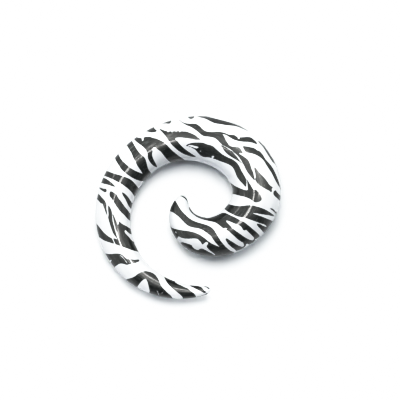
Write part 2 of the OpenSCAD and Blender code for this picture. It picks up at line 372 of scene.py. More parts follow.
        (87.3, -7), (88.1, -6.9), (89, -7), (90, -7.9), (91.3, -8.2), (91.4, -10.2), (90.1, -10.3),
        (89, -9.4), (88.1, -9.2), (87.4, -8.8))),
    Shape("slanted slit in the arrow", Layer.BARE, (
        (93, 13), (93.25, 8.5), (93.8, 5.4), (94.7, 4.4), (95.6, 4.6), (95.75, 6.2), (94.5, 6.7),
        (93.7, 9))),
    Shape("gap in the arrow", Layer.BARE, (
        (94.95, -11.8), (95.4, -10), (95.9, -9.2), (96.6, -7.5), (96.65, -10.3), (96.1, -12.4),
        (95.5, -13.2))),
    Shape("white slit in the arrow", Layer.BARE, (
        (93.5, 112), (92.95, 112), (93, 75), (93.05, 51), (93.25, 62), (93.45, 80))),
    Shape("first scratch in the arch", Layer.BARE, (
        (105.05, 32), (105.3, 42), (105.6, 55), (105.95, 66), (105.8, 55), (105.5, 42),
        (105.25, 33))),
    Shape("second scratch in the arch", Layer.BARE, (
        (106.1, 50), (106.3, 36), (106.5, 22), (106.6, 17), (106.45, 32), (106.25, 48))),
)

# Shapes between the stripes of the underside, in order from the head to the tail.
UNDERSIDE_SHAPES = (
    Shape("blade under the thick stretch", Layer.INK, (
        (27.4, 264), (26.9, 252), (27.3, 235), (27.9, 212), (28.8, 188), (29.9, 166), (30.6, 150),
        (30.3, 172), (29.8, 195), (29.2, 218), (28.7, 240), (28.2, 258))),
    Shape("slit in the band below", Layer.BARE, (
        (34.3, 128), (34.1, 150), (33.8, 172), (33.4, 196), (33.9, 190), (34.4, 170), (34.6, 148),
        (34.6, 132))),
    Shape("tooth below", Layer.INK, (
        (40.6, 106), (40.3, 116), (40.6, 132), (40.9, 150), (41.1, 170), (41.35, 150), (41.4, 130),
        (41.1, 114))),
    Shape("link below", Layer.INK, (
        (43.8, 158), (45.2, 147), (46.8, 139), (48.6, 133), (50.3, 129), (50.3, 137), (48.6, 142),
        (47, 150), (45.6, 160), (44, 170))),
    Shape("thin blade below", Layer.INK, (
        (45.7, 260), (45.1, 248), (45.6, 228), (46.2, 205), (46.9, 182), (46.8, 205), (46.6, 228),
        (46.3, 250))),
    Shape("wishbone below", Layer.INK, (
        (53.4, 121), (52.7, 130), (53.2, 150), (53.4, 175), (53, 200), (52.4, 225), (51.9, 244),
        (52.9, 228), (53.7, 205), (54.15, 190), (54.7, 206), (55, 225), (55.1, 242), (55.4, 222),
        (55.3, 198), (54.9, 172), (54.5, 150), (54.1, 130))),
    Shape("long tooth below", Layer.INK, (
        (64, 106), (63.7, 116), (64, 135), (64.3, 160), (64.6, 188), (64.9, 215), (65.1, 240),
        (65.45, 214), (65.4, 186), (65.1, 158), (64.8, 134), (64.4, 114))),
    Shape("branch below", Layer.INK, (
        (86, 206), (87.4, 197), (88.8, 190), (90.2, 185), (90.2, 194), (88.9, 200), (87.6, 207),
        (86.2, 216))),
    Shape("thorn below", Layer.INK, (
        (102, 252), (101.5, 240), (101.8, 215), (102.2, 190), (102.6, 166), (102.95, 190),
        (102.9, 215), (102.6, 240))),
    Shape("slit in the tail band", Layer.BARE, (
        (106.1, 212), (106.4, 188), (106.8, 162), (107.2, 138), (107.2, 164), (106.9, 190),
        (106.5, 214))),
)

# The stripes as they go on round the underside, in order from the head to the tail.
WRAPS = (
    Wrap(outer=(9.3, 12.2), inner=(4.4, 7.2)),
    Wrap(outer=(14.6, 18.5), inner=(9.2, 10.9)),
    Wrap(outer=(25.4, 27.9), inner=(22.1, 24.1)),
    Wrap(outer=(35.1, 37.6), inner=(30.1, 33.2)),
    Wrap(outer=(39.0, 39.8), inner=(35.5, 36.8)),
    Wrap(outer=(44.0, 47.2), inner=(41.2, 41.6)),
    Wrap(outer=(50.1, 52.8), inner=(47.0, 47.6)),
    Wrap(outer=(57.9, 59.9), inner=(56.1, 58.2)),
    Wrap(outer=(61.7, 63.3), inner=(59.6, 60.9)),
    Wrap(outer=(66.6, 68.1), inner=(68.0, 69.1)),
    Wrap(outer=(70.3, 71.4), inner=(70.0, 71.3)),
    Wrap(outer=(74.5, 75.5), inner=(74.4, 77.4)),
    Wrap(outer=(79.3, 80.2), inner=(79.6, 81.5)),
    Wrap(outer=(85.0, 87.8), inner=(83.1, 85.3)),
    Wrap(outer=(91.2, 92.9), inner=(87.7, 89.3)),
    Wrap(outer=(93.5, 94.6), inner=(91.7, 95.3)),
    Wrap(outer=(98.0, 100.8), inner=(98.4, 98.7)),
    Wrap(outer=(103.6, 108.8), inner=(105.2, 108.4)),
    Wrap(outer=(111.1, 114.2), inner=(112.8, 113.8)),
)


@dataclass(frozen=True)
class ZebraPrint:
    """The black print round the rod, kept as how deep each place lies inside the ink.

    Attributes:
        curve_steps: how many points round off the outline for each of its corners.
        degree_length: how many mm a degree round the rod counts for as corners are rounded off.
        deepest: the depth in mm from which on a place is plain ink, or plain bare white.
        block: how many places are measured at a time.
        join_at: the angle where a stripe goes over to the underside.
        overlap: how far its ends reach back into the visible stripe, in degrees.
        narrowing: how far each edge is drawn in at its ends, as a share of its width.
        narrowed_from: the width in mm from which it has a narrowed end on the inner side.
        underside_steps: how many steps it takes across the underside.
        waviness: how far it waves, in mm.
        wave_start: where the wave of the next stripe starts, in radians after this one's.
        wave_run: how many radians of the wave lie across the underside.
        edge_waves: how strongly each of its two edges waves.
    """

    curve_steps: int = 6
    degree_length: float = 0.09
    deepest: float = 0.6
    block: int = 4000
    join_at: float = 100.0
    overlap: float = 20.0
    narrowing: float = 0.3
    narrowed_from: float = 0.8
    underside_steps: int = 6
    waviness: float = 0.45
    wave_start: float = 2.3
    wave_run: float = 4.0
    edge_waves: Pair = (0.6, 1.4)

    def shapes(self) -> list[Shape]:
        """List all shapes of the print.

        Returns:
            The visible shapes, and the shapes and stripes of the underside.
        """
        wraps = [self._underside(wrap, number) for number, wrap in enumerate(WRAPS)]
        return [*VISIBLE_SHAPES, *UNDERSIDE_SHAPES, *wraps]

    def _narrowed(self, span: Pair, side: int) -> float:
        """Draw one edge of a stripe in towards its other edge.

        Args:
            span: where the two edges are, in mm from the head's tip.
            side: which edge it is, 0 or 1.

        Returns:
            Where the edge then is.
        """
        return span[side] * (1 - self.narrowing) + span[1 - side] * self.narrowing

    def _underside(self, wrap: Wrap, number: int) -> Shape:
        """Draw one stripe across the underside, slightly wavy, with smooth joins at both sides.

        Args:
            wrap: where the stripe leaves the outer side and meets the inner side.
            number: its number, which sets how it waves.

        Returns:
            The inked shape.
        """
        edges: tuple[list[Pair], list[Pair]] = ([], [])
        for step in range(self.underside_steps + 1):
            share = step / self.underside_steps
            around = self.join_at + (360 - 2 * self.join_at) * share
            blend = share * share * (3 - 2 * share)
            wave = self.waviness * math.sin(math.pi * share)
            wave *= math.sin(self.wave_start * number + self.wave_run * share)
            for side, edge in enumerate(edges):
                straight = wrap.outer[side] * (1 - blend) + wrap.inner[side] * blend
                edge.append((straight + wave * self.edge_waves[side], around))
        root = self.join_at - self.overlap
        for side, edge in enumerate(edges):
            edge.insert(0, (self._narrowed(wrap.outer, side), root))
            if wrap.inner[1] - wrap.inner[0] > self.narrowed_from:
                edge.append((self._narrowed(wrap.inner, side), 360 - root))
        return Shape(f"underside {number}", Layer.INK, tuple(edges[0] + edges[1][::-1]))

    @staticmethod
    def _mix(at: np.ndarray, knots: list[np.ndarray], ends: list[np.ndarray]) -> np.ndarray:
        """Blend two rows of points by where the curve is between two knots.

        Args:
            at: where the curve is.
            knots: where on the curve the two rows belong.
            ends: the two rows of points.

        Returns:
            The blended row.
        """
        share = ((at - knots[0]) / (knots[1] - knots[0]))[:, None]
        return ends[0] * (1 - share) + ends[1] * share

    def _smooth(self, outline: Outline) -> np.ndarray:
        """Round off an outline with a closed curve through its corners.

        Args:
            outline: the corners of the shape.

        Returns:
            Points along the curve, one row each.
        """
        corners = np.array(outline, float)
        rows = [np.roll(corners, k, axis=0) for k in (1, 0, -1, -2)]
        knots = [np.zeros(len(corners))]
        for here, there in zip(rows, rows[1:]):
            gap = np.linalg.norm((there - here) * (1.0, self.degree_length), axis=1)
            knots.append(knots[-1] + np.sqrt(np.maximum(gap, TINY)))
        points = []
        for step in range(self.curve_steps):
            at = knots[1] + (knots[2] - knots[1]) * step / self.curve_steps
            lines = [self._mix(at, knots[k:k + 2], rows[k:k + 2]) for k in range(3)]
            bends = [self._mix(at, knots[k:k + 3:2], lines[k:k + 2]) for k in range(2)]
            points.append(self._mix(at, knots[1:3], bends))
        return np.stack(points, axis=1).reshape(-1, 2)

    def _depth(self, points: np.ndarray, curve: np.ndarray) -> np.ndarray:
        """Measure how far points lie inside a closed curve.

        Args:
            points: one row per point.
            curve: one row per point of the curve.

        Returns:
            The distance to the curve, positive inside it.
        """
        ends = np.roll(curve, -1, axis=0)
        run = ends - curve
        run_squared = np.maximum((run * run).sum(1), TINY ** 2)
        rise = np.where(run[:, 1] == 0, TINY ** 2, run[:, 1])
        depth = np.empty(len(points))
        for start in range(0, len(points), self.block):
            block = points[start:start + self.block, None, :]
            share = ((block - curve) * run).sum(2) / run_squared
            nearest = curve + np.clip(share, 0, 1)[..., None] * run
            gap = np.sqrt(((block - nearest) ** 2).sum(2).min(1))
            crosses = (curve[:, 1] > block[..., 1]) != (ends[:, 1] > block[..., 1])
            reach = curve[:, 0] + run[:, 0] * (block[..., 1] - curve[:, 1]) / rise
            inside = (crosses & (block[..., 0] < reach)).sum(1) % 2 == 1
            depth[start:start + self.block] = np.where(inside, gap, -gap)
        return depth

    def ink_depth(self, along: np.ndarray, around: np.ndarray, radius: np.ndarray) -> np.ndarray:
        """Work out the print at places on the rod.

        Args:
            along: distance from the head's tip in mm.
            around: angle round the rod in degrees, from -180 to 180.
            radius: the rod's radius there in mm.

        Returns:
            How deep in mm each place lies inside the ink, negative on bare white.
        """
        found = {layer: np.full(len(along), -self.deepest) for layer in Layer}
        for shape in self.shapes():
            curve = self._smooth(shape.outline)
            low, high = curve.min(0), curve.max(0)
            near_along = (along > low[0] - self.deepest) & (along < high[0] + self.deepest)
            if not near_along.any():
                continue
            degree = math.radians(float(radius[near_along].mean()))
            margin = self.deepest / max(degree, TINY)
            for turn in (0.0, 360.0):
                turned = around + turn
                near = near_along & (turned > low[1] - margin) & (turned < high[1] + margin)
                if not near.any():
                    continue
                places = np.stack([along[near], turned[near] * degree], axis=1)
                depth = self._depth(places, curve * (1.0, degree))
                kept = found[shape.layer]
                kept[near] = np.maximum(kept[near], depth)
        depth = np.minimum(found[Layer.INK], -found[Layer.BARE])
        return np.clip(depth, -self.deepest, self.deepest)


@dataclass(frozen=True)
class Grain:
    """A noise pattern on the rod.

    Attributes:
        scale: how many grains go into a metre.
        low: the noise below which there is none of it.
        high: the noise from which there is all of it.
        stretch: how much longer its grains are along the rod than across.
    """

    scale: float
    low: float = 0.0
    high: float = 1.0
    stretch: float = 1.0


class NodeBuilder:
    """Builder of nodes in a finish or in the surroundings."""

    def __init__(self, tree: bpy.types.NodeTree) -> None:
        """Start in a node tree.

        Args:
            tree: where the nodes go.
        """
        self.nodes, self.links = tree.nodes, tree.links

    def add(self, kind: str, **settings: str) -> bpy.types.Node:
        """Add one node.

        Args:
            kind: the kind of shader node.
            settings: its settings by name.

        Returns:
            The node.
        """
        node = self.nodes.new(f"ShaderNode{kind}")
        for name, value in settings.items():
            setattr(node, name, value)
        return node

    def share(self, value: Socket, low: float, high: float, ends: Pair = (0.0, 1.0),
              interpolation: str = "LINEAR") -> Socket:
        """Map a value to a share of something.

        Args:
            value: the value.
            low: the value that gives the first end.
            high: the value that gives the second end.
            ends: the shares at both ends.
            interpolation: how the share goes from end to end.

        Returns:
            The share.
        """
        node = self.add("MapRange", interpolation_type=interpolation)
        node.inputs["From Min"].default_value, node.inputs["From Max"].default_value = low, high
        node.inputs["To Min"].default_value, node.inputs["To Max"].default_value = ends
        self.links.new(value, node.inputs["Value"])
        return node.outputs["Result"]

    def combine(self, operation: str, first: Socket, second: Socket) -> Socket:
        """Add or multiply two values.

        Args:
            operation: ADD or MULTIPLY.
            first: the one value.
            second: the other value.

        Returns:
            Their sum or product.
        """
        node = self.add("Math", operation=operation)
        self.links.new(first, node.inputs[0])
        self.links.new(second, node.inputs[1])
        return node.outputs[0]

    def blend(self, share: Socket, first: Colour | Socket, second: Colour | Socket) -> Socket:
        """Blend two colours.

        Args:
            share: how much of the second colour there is.
            first: the one colour.
            second: the other colour.

        Returns:
            The blended colour.
        """
        node = self.add("Mix", data_type="RGBA")
        self.links.new(share, node.inputs["Factor"])
        for socket, colour in zip("AB", (first, second)):
            if isinstance(colour, tuple):
                node.inputs[socket].default_value = (*colour, 1)
            else:
                self.links.new(colour, node.inputs[socket])
        return node.outputs["Result"]


class AcrylicNodes(NodeBuilder):
    """Builder of the patterns that follow the rod."""

    def __init__(self, tree: bpy.types.NodeTree) -> None:
        """Start in the rod's material.

        Args:
            tree: the material's node tree.
        """
        super().__init__(tree)
        self.place = self.attribute("rod_place").outputs["Vector"]

    def attribute(self, name: str) -> bpy.types.Node:
        """Read one of the mesh's own attributes.

        Args:
            name: the attribute's name.

        Returns:
            The node that reads it.
        """
        return self.add("Attribute", attribute_name=name)

    def noise(self, grain: Grain, detail: float = 3.0) -> Socket:
        """Make a noise that follows the rod.

        Args:
            grain: its scale and stretch.
            detail: how many finer noises are added.

        Returns:
            The noise, about 0.5 in the middle.
        """
        stretch = self.add("Mapping")
        stretch.inputs["Scale"].default_value = (1 / grain.stretch, 1, 1)
        self.links.new(self.place, stretch.inputs["Vector"])
        noise = self.add("TexNoise")
        noise.inputs["Scale"].default_value = grain.scale
        noise.inputs["Detail"].default_value = detail
        self.links.new(stretch.outputs["Vector"], noise.inputs["Vector"])
        return noise.outputs["Fac"]

    def grains(self, grain: Grain, most: float = 1.0) -> Socket:
        """Make grains out of a noise.

        Args:
            grain: the pattern.
            most: the share inside a grain.

        Returns:
            The share of the grains at each place.
        """
        return self.share(self.noise(grain), grain.low, grain.high, (0.0, most))


@dataclass(frozen=True)
class PrintedAcrylic:
    """Finish of the rod: white acrylic, black print and a clear coat over both.

    Attributes:
        slot: the name of the finish.
        white: the acrylic.
        clouded_white: the acrylic where it is slightly greyer.
        ink: the print where it is dense.
        worn_ink: the print where it is thin.
        silver: flecks and scratches in the print.
        edge_softness: half the width of the print's soft edge, in mm.
        ragged: how far the edge strays from its line, in mm.
        edge_grain: how finely the edge strays.
        clouds: where the acrylic is greyer and the print thinner.
        cloud_wear: how thin the print is inside a cloud.
        film_grain: where the print is thin by itself.
        flecks: pale flecks in the print.
        fleck_share: how pale they are.
        scratches: fine scratches along the rod.
        scratched: the stretches that have scratches.
        roughness: how rough the acrylic is under its coat.
        ior: how strongly the acrylic bends light.
        gloss: how strongly it shines under its coat.
        coat: how much clear coat there is.
        coat_ior: how strongly the coat bends light.
        clear_gloss: how rough the coat is where it is clear.
        dull_gloss: how rough it is where it is dull.
        dulling: how dull it is along the rod, from 0 to 1, at distances from the head's tip.
        ripple: the waves in the surface, as hand-bent acrylic has them.
        ripple_detail: how many finer waves are added.
        ripple_strength: how much of the waves shows.
        ripple_height: how high they are, in mm.
    """

    slot: str = "printed_acrylic"
    white: Colour = (0.77, 0.775, 0.785)
    clouded_white: Colour = (0.74, 0.745, 0.76)
    ink: Colour = (0.0040, 0.0055, 0.0042)
    worn_ink: Colour = (0.034, 0.038, 0.035)
    silver: Colour = (0.13, 0.14, 0.135)
    edge_softness: float = 0.035
    ragged: float = 0.10
    edge_grain: Grain = Grain(2600)
    clouds: Grain = Grain(420, 0.40, 0.70)
    cloud_wear: float = 0.35
    film_grain: Grain = Grain(2300, 0.42, 0.72, 2.5)
    flecks: Grain = Grain(2600, 0.645, 0.73, 1.6)
    fleck_share: float = 0.8
    scratches: Grain = Grain(3600, 0.60, 0.68, 14)
    scratched: Grain = Grain(130, 0.50, 0.60)
    roughness: float = 0.32
    ior: float = 1.49
    gloss: float = 0.2
    coat: float = 1.0
    coat_ior: float = 1.5
    clear_gloss: float = 0.12
    dull_gloss: float = 0.27
    dulling: tuple[Pair, ...] = (
        (0, 0), (0.8, 1), (19.7, 1), (20.5, 0), (34.5, 0), (35.3, 1), (44.2, 1), (45, 0),
        (51.5, 0), (52.3, 1), (60, 0), (62.2, 1), (63, 0), (120, 0))
    ripple: Grain = Grain(350)
    ripple_detail: float = 2.0
    ripple_strength: float = 0.12
    ripple_height: float = 0.2

    def make(self) -> bpy.types.Material:
        """Build the material.

        Returns:
            The material, which reads the mesh's own ink_depth and rod_place attributes.
        """
        material = bpy.data.materials.new(self.slot)
        material.use_nodes = True
        build = AcrylicNodes(material.node_tree)
        shader = build.nodes["Principled BSDF"]
        shader.inputs["Roughness"].default_value = self.roughness
        shader.inputs["IOR"].default_value = self.ior
        shader.inputs["Specular IOR Level"].default_value = self.gloss
        shader.inputs["Coat Weight"].default_value = self.coat
        shader.inputs["Coat IOR"].default_value = self.coat_ior
        white = build.blend(build.grains(self.clouds), self.white, self.clouded_white)
        colour = build.blend(self._printed(build), white, self._film(build))
        build.links.new(colour, shader.inputs["Base Color"])
        build.links.new(self._dullness(build), shader.inputs["Coat Roughness"])
        self._ripple(build, shader)
        return material

    def _printed(self, build: AcrylicNodes) -> Socket:
        """Tell where the print is, with a slightly ragged edge.

        Args:
            build: where the nodes go.

        Returns:
            The share of ink at each place.
        """
        ragged = build.share(build.noise(self.edge_grain), 0, 1, (-self.ragged / 2, self.ragged / 2))
        depth = build.combine("ADD", build.attribute("ink_depth").outputs["Fac"], ragged)
        return build.share(depth, -self.edge_softness, self.edge_softness)

    def _film(self, build: AcrylicNodes) -> Socket:
        """Colour the ink: black, greyed by a fine grain, with pale flecks and fine scratches.

        Args:
            build: where the nodes go.

        Returns:
            The ink's colour.
        """
        film = build.blend(build.grains(self.film_grain), self.ink, self.worn_ink)
        film = build.blend(build.grains(self.clouds, self.cloud_wear), film, self.worn_ink)
        film = build.blend(build.grains(self.flecks, self.fleck_share), film, self.silver)
        lines = build.combine("MULTIPLY", build.grains(self.scratches), build.grains(self.scratched))
        return build.blend(lines, film, self.silver)

    def _dullness(self, build: AcrylicNodes) -> Socket:
        """Set how rough the clear coat is: smooth, and duller in some stretches of the rod.

        Args:
            build: where the nodes go.

        Returns:
            The coat's roughness.
        """
        place = build.add("SeparateXYZ")
        build.links.new(build.place, place.inputs["Vector"])
        reach = self.dulling[-1][0]
        ramp = build.add("ValToRGB")
        stops = ramp.color_ramp.elements
        stops.remove(stops[1])
        for distance, dull in self.dulling[1:]:
            stops.new(distance / reach).color = (dull, dull, dull, 1)
        build.links.new(build.share(place.outputs["X"], 0, reach * MM), ramp.inputs["Fac"])
        return build.share(ramp.outputs["Color"], 0, 1, (self.clear_gloss, self.dull_gloss))

    def _ripple(self, build: AcrylicNodes, shader: bpy.types.Node) -> None:
        """Make the surface slightly wavy, as hand-bent acrylic is.

        Args:
            build: where the nodes go.
            shader: the material's shader.
        """
        bump = build.add("Bump")
        bump.inputs["Strength"].default_value = self.ripple_strength
        bump.inputs["Distance"].default_value = self.ripple_height * MM
        build.links.new(build.noise(self.ripple, self.ripple_detail), bump.inputs["Height"])
        build.links.new(bump.outputs["Normal"], shader.inputs["Normal"])
        build.links.new(bump.outputs["Normal"], shader.inputs["Coat Normal"])


@dataclass(frozen=True)
class WhiteTable:
    """Finish of the table that the spiral lies on.

    Attributes:
        colour: the table.
        painted_shade_in_gloss: the table as it mirrors in the spiral's gloss.
        roughness: how matt it is.
        gloss: how strongly it shines.
    """

    colour: Colour = (0.94, 0.945, 0.95)
    # Painted shade: in the gloss the table is greyer, standing in for the spiral's shadow on the table
    # beside it
    painted_shade_in_gloss: Colour = (0.70, 0.71, 0.72)
    roughness: float = 0.6
    gloss: float = 0.1

    def make(self) -> bpy.types.Material:
        """Build the material.

        Returns:
            A plain matt white, which mirrors in the gloss as a greyer sheet: painted shade for the
            spiral's shadow on the table beside it.
        """
        material = bpy.data.materials.new("white_table")
        material.use_nodes = True
        build = NodeBuilder(material.node_tree)
        shader = build.nodes["Principled BSDF"]
        in_gloss = build.add("LightPath").outputs["Is Glossy Ray"]
        # Painted shade: the table turns greyer where the spiral's gloss mirrors it
        colour = build.blend(in_gloss, self.colour, self.painted_shade_in_gloss)
        build.links.new(colour, shader.inputs["Base Color"])
        shader.inputs["Roughness"].default_value = self.roughness
        shader.inputs["Specular IOR Level"].default_value = self.gloss
        return material


@dataclass(frozen=True)
class Section:
    """The rod at one of its sections.

    Attributes:
        turn: angle round the eye of the spiral, in degrees from the right.
        reach: from the eye to the rod's centre, in percent of the widest turn's.
        girth: thickness of the rod, in percent of its gauge.
    """

    turn: float
    reach: float
    girth: float


@dataclass
class SpiralRod:
    """The acrylic rod, from the blunt head in the middle to the pointed tail outside.

    Attributes:
        finish: its material.
        pattern: its print.
        gauge: its thickness where it is worn.
        coil_reach: from the eye of the spiral to the rod's centre in the widest turn.
        head_round: length of the rounding on the head's tip.
        tail_round: length of the rounding on the tail's tip.
        rest_roll: tilt about X of the spiral as it rests.
        rest_pitch: tilt about Y of the spiral as it rests.
        sides: corners of each ring, before smoothing.
        rings: rings along the rod, between the rounded tips.
        tip_rings: rings in each rounded tip.
        smoothing: how many times the mesh is subdivided.
        measuring_steps: fine steps in which the rod's middle is measured.
        map_margin: empty rim of the unrolled map, as a share of its side.
        sections: the rod's table, from the head to the tail.
        rest: where the spiral lies, once it is laid down.
    """

    finish: PrintedAcrylic
    pattern: ZebraPrint
    gauge: float = 12.0
    coil_reach: float = 26.7
    head_round: float = 1.2
    tail_round: float = 1.3
    rest_roll: float = 1.84
    rest_pitch: float = -2.46
    sides: int = 40
    rings: int = 141
    tip_rings: int = 5
    smoothing: int = 2
    measuring_steps: int = 2400
    map_margin: float = 0.01
    sections: tuple[Section, ...] = (
        Section(181, 21.4, 14),
        Section(225, 34.8, 64),
        Section(270, 38.2, 80),
        Section(315, 37.2, 92),
        Section(360, 44.2, 98),
        Section(405, 44.4, 100),
        Section(450, 48.2, 100),
        Section(495, 61.0, 75),
        Section(540, 85.8, 77),
        Section(585, 100, 58),
        Section(631, 85.2, 15),
    )
    rest: Matrix = field(default_factory=Matrix)

    def __post_init__(self) -> None:
        """Measure the rod's middle in fine steps, as distances from the head's tip."""
        places = np.linspace(0, len(self.sections) - 1, self.measuring_steps + 1)
        rows = np.array([self._section(place) for place in places])
        turn, reach = np.radians(rows[:, 0]), self.coil_reach * rows[:, 1] / 100
        self._middles = np.stack([reach * np.cos(turn), reach * np.sin(turn)], axis=1)
        gaps = np.linalg.norm(np.diff(self._middles, axis=0), axis=1)
        self._distances = np.concatenate([[0.0], np.cumsum(gaps)])
        heading = np.gradient(self._middles, self._distances, axis=0)
        self._headings = heading / np.linalg.norm(heading, axis=1)[:, None]
        # Half the girth, which is in percent
        self._radii = self.gauge * rows[:, 2] / 200
        self.length = float(self._distances[-1])

    def _section(self, place: float) -> np.ndarray:
        """Blend the table of sections smoothly, as a cubic B-spline does.

        Args:
            place: from 0 at the head to the number of the last section at the tail.

        Returns:
            The turn, reach and girth there.
        """
        table = np.array([(s.turn, s.reach, s.girth) for s in self.sections])
        table = np.vstack([2 * table[0] - table[1], table, 2 * table[-1] - table[-2]])
        row = min(int(place), len(self.sections) - 2)
        f = place - row
        shares = np.array([(1 - f) ** 3, 3 * f ** 3 - 6 * f ** 2 + 4,
                           3 * f + 3 * f ** 2 - 3 * f ** 3 + 1, f ** 3]) / 6
        return shares @ table[row:row + 4]

    def _blend(self, distance: float | np.ndarray, values: np.ndarray) -> np.ndarray:
        """Look up a measured value at distances from the head's tip.

        Args:
            distance: one or many distances in mm.
            values: the measured values, one row for each fine step.

        Returns:
            The value at each distance.
        """
        if values.ndim == 1:
            return np.interp(distance, self._distances, values)
        return np.stack([np.interp(distance, self._distances, column) for column in values.T], axis=-1)

    def radius(self, distance: float | np.ndarray) -> np.ndarray:
        """Work out the rod's radius in mm, which is rounded off at both tips.

        Args:
            distance: one or many distances from the head's tip in mm.

        Returns:
            The radius at each distance.
        """
        head = 1 - np.minimum(distance / self.head_round, 1)
        tail = 1 - np.minimum((self.length - distance) / self.tail_round, 1)
        rounding = np.sqrt(np.maximum(1 - head ** 2, 0) * np.maximum(1 - tail ** 2, 0))
        return self._blend(distance, self._radii) * rounding

    def _ring_distances(self) -> list[float]:
        """List where the rings stand along the rod, close together in the tips.

        Returns:
            Their distances from the head's tip in mm.
        """
        tip = [1 - math.cos(math.pi / 2 * k / self.tip_rings) for k in range(1, self.tip_rings)]
        plain = self.length - self.head_round - self.tail_round
        return [
            *(self.head_round * share for share in tip),
            *(self.head_round + plain * k / (self.rings - 1) for k in range(self.rings)),
            *(self.length - self.tail_round * share for share in reversed(tip)),
        ]

    def _sweep(self) -> bpy.types.Object:
        """Draw a ring out along the middle of the rod, turning and sizing it at each step.

        Returns:
            The rod with its two tips closed, flat and with the eye of the spiral at the origin.
        """
        # Smoothing pulls a ring in by this much
        shrink = (2 + math.cos(2 * math.pi / self.sides)) / 3
        stations = self._ring_distances()
        middles = [Vector((*self._blend(d, self._middles), 0)) * MM for d in stations]
        headings = [math.atan2(*self._blend(d, self._headings)[::-1]) for d in stations]
        radii = [float(self.radius(d)) / shrink * MM for d in stations]
        deselect_all()
        bpy.ops.mesh.primitive_circle_add(
            vertices=self.sides, radius=radii[0], location=middles[0],
            rotation=(math.pi / 2, 0, headings[0] + math.pi / 2))
        rod = bpy.context.object
        bpy.ops.object.transform_apply(location=True, rotation=True, scale=True)
        bpy.ops.object.mode_set(mode="EDIT")
        bpy.ops.mesh.select_all(action="SELECT")
        for k in range(1, len(stations)):
            step = middles[k] - middles[k - 1]
            bpy.ops.mesh.extrude_region_move(TRANSFORM_OT_translate={"value": step})
            turn = math.remainder(headings[k] - headings[k - 1], math.tau)
            bpy.ops.transform.rotate(value=-turn, orient_axis="Z", center_override=middles[k])
            size = radii[k] / radii[k - 1]
            bpy.ops.transform.resize(value=(size, size, size), center_override=middles[k])
        self._close_tip(self.length)
        bpy.ops.mesh.select_all(action="DESELECT")
        bpy.ops.object.mode_set(mode="OBJECT")
        for vertex in rod.data.vertices[:self.sides]:
            vertex.select = True
        bpy.ops.object.mode_set(mode="EDIT")
        self._close_tip(0.0)
        bpy.ops.mesh.select_all(action="SELECT")
        bpy.ops.mesh.normals_make_consistent(inside=False)
        bpy.ops.object.mode_set(mode="OBJECT")
        return rod

    def _close_tip(self, distance: float) -> None:
        """Draw the selected ring out to the very tip and gather it into one point.

        Args:
            distance: where the tip is, in mm from the head's tip.
        """
        tip = Vector((*self._blend(distance, self._middles), 0)) * MM
        bpy.ops.mesh.extrude_region_move()
        bpy.ops.transform.resize(value=(0, 0, 0), center_override=tip)
        bpy.ops.mesh.merge(type="CENTER")

    def _lay_down(self, rod: bpy.types.Object) -> None:
        """Tilt the spiral as it comes to rest and set it where the frame has it.

        Args:
            rod: the flat spiral.
        """
        low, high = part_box(NODE)
        tilt = (Matrix.Rotation(math.radians(self.rest_pitch), 4, "Y")
                @ Matrix.Rotation(math.radians(self.rest_roll), 4, "X"))
        points = np.array([tilt @ v.co for v in rod.data.vertices])
        own_low, own_high = Vector(points.min(0)), Vector(points.max(0))
        shift = (low + high - own_low - own_high) / 2
        shift.z = low.z - own_low.z
        self.rest = Matrix.Translation(shift) @ tilt
        rod.matrix_world = self.rest
        make_active(rod)
        bpy.ops.object.transform_apply(location=True, rotation=True, scale=True)

    def _places_on_rod(self, mesh: bpy.types.Mesh) -> tuple[np.ndarray, np.ndarray]:
        """Find where each vertex lies on the rod.

        Args:
            mesh: the finished mesh.

        Returns:
            Each vertex's distance from the head's tip in mm, and its angle round the rod, from
            straight up as the spiral lies.
        """
        tree = KDTree(len(self._middles))
        for k, middle in enumerate(self._middles):
            tree.insert((*middle, 0), k)
        tree.balance()
        flat = self.rest.inverted()
        points = np.array([flat @ vertex.co for vertex in mesh.vertices]) / MM
        nearest = np.array([tree.find((x, y, 0))[1] for x, y, _ in points])
        ahead = np.pad(self._headings[nearest], ((0, 0), (0, 1)))
        spoke = points - np.pad(self._middles[nearest], ((0, 0), (0, 1)))
        up = np.array(flat.to_3x3() @ Vector((0, 0, 1)))
        outward = np.cross(ahead, up)
        outward /= np.linalg.norm(outward, axis=1)[:, None]
        upward = np.cross(outward, ahead)
        along = self._distances[nearest] + (spoke * ahead).sum(1)
        around = np.degrees(np.arctan2((spoke * outward).sum(1), (spoke * upward).sum(1)))
        return np.clip(along, 0, self.length), around

    @staticmethod
    def _add_attribute(mesh: bpy.types.Mesh, name: str, kind: str, values: np.ndarray) -> None:
        """Keep a value for each vertex in the mesh, where the material reads it.

        Args:
            mesh: the finished mesh.
            name: the attribute's name.
            kind: FLOAT for one number a vertex, FLOAT_VECTOR for three.
            values: the values, one row per vertex.
        """
        attribute = mesh.attributes.new(name, kind, "POINT")
        attribute.data.foreach_set("value" if kind == "FLOAT" else "vector",
                                   values.ravel().astype(np.float32))

